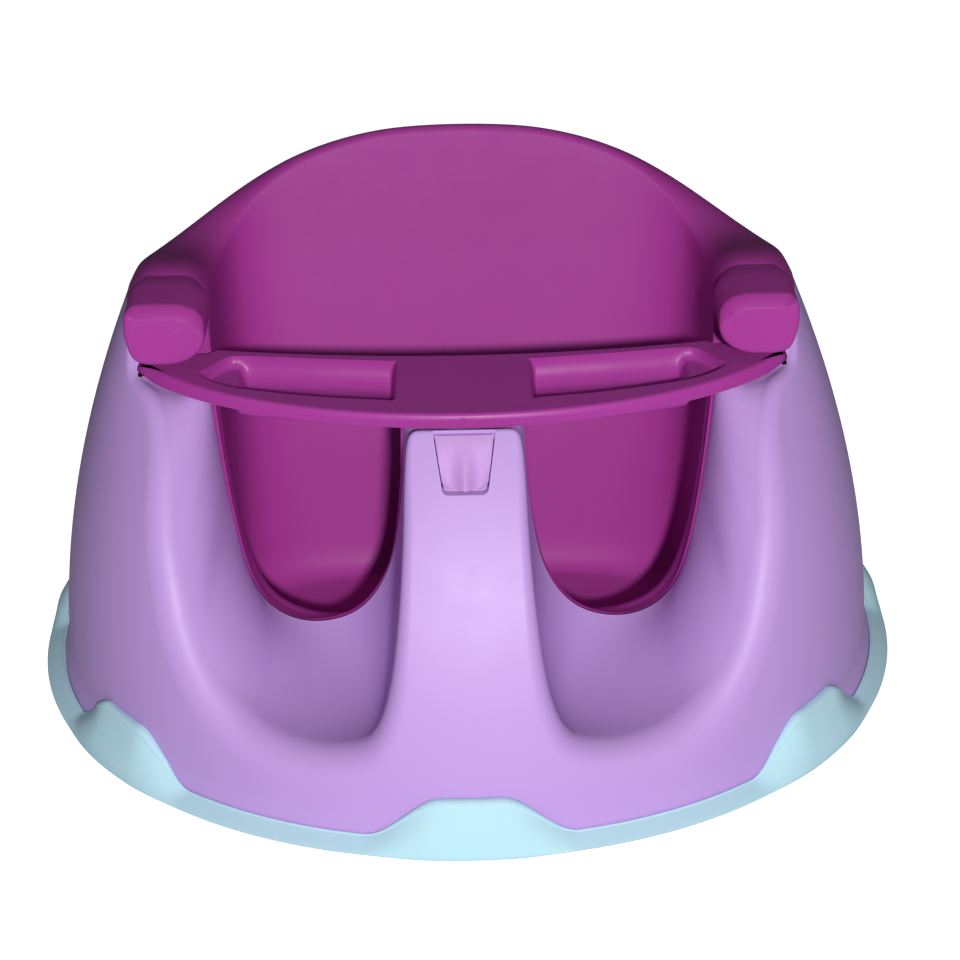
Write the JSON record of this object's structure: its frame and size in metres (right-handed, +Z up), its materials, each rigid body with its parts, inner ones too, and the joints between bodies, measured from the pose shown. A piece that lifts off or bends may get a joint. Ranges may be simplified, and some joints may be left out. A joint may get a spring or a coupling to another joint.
{
  "type": "baby floor seat",
  "caption": "Moulded floor seat for a baby: domed shell, bucket liner with arm noses, slide-off tray with wells, leg openings and a soft foot ring.",
  "frame": {"origin": "on the floor, in the middle of the foot ring's outline", "axes": "+Z up, front (the leg openings) towards -Y, +X to the right seen from the front"},
  "size_m": [0.4, 0.373, 0.2208],
  "materials": {
    "shell_plastic": "smooth moulded, soft gloss",
    "liner_plastic": "smooth moulded, soft gloss",
    "ring_rubber": "soft non-slip moulding, satin",
    "base_plastic": "plain moulded",
    "bracket_plastic": "natural moulded",
    "tab_plastic": "smooth moulded, soft gloss",
    "tray_plastic": "smooth moulded, soft gloss",
    "steel": "zinc plated"
  },
  "bodies": {
    "seat": {"outer_shell": "shell_plastic", "seat_liner": "liner_plastic", "foot_ring": "ring_rubber", "base_plate": "base_plastic", "base_screws": "steel", "latch_bracket": "bracket_plastic", "bracket_screws": "steel", "tab_pivot_pin": "steel", "latch_spring": "steel", "spring_rivet": "steel"},
    "tray": {"tray_top": "tray_plastic", "tray_latch_plate": "tray_plastic", "tray_screws": "steel"},
    "release_tab": {"release_tab": "tab_plastic"}
  },
  "joints": [
    {"name": "tray_slide", "type": "slide", "parent": "seat", "child": "tray", "axis": [0, -1, 0], "range_m": [0, 0.09], "deforming": ["latch_spring"]},
    {"name": "release_tab_press", "type": "hinge", "parent": "seat", "child": "release_tab", "pos_m": [0, -0.11755, 0.136], "axis": [-1, 0, 0], "range_deg": [0, 9], "stiffness_Nm_per_rad": 0.05, "springref_deg": -2.86, "deforming": ["latch_spring"]}
  ]
}
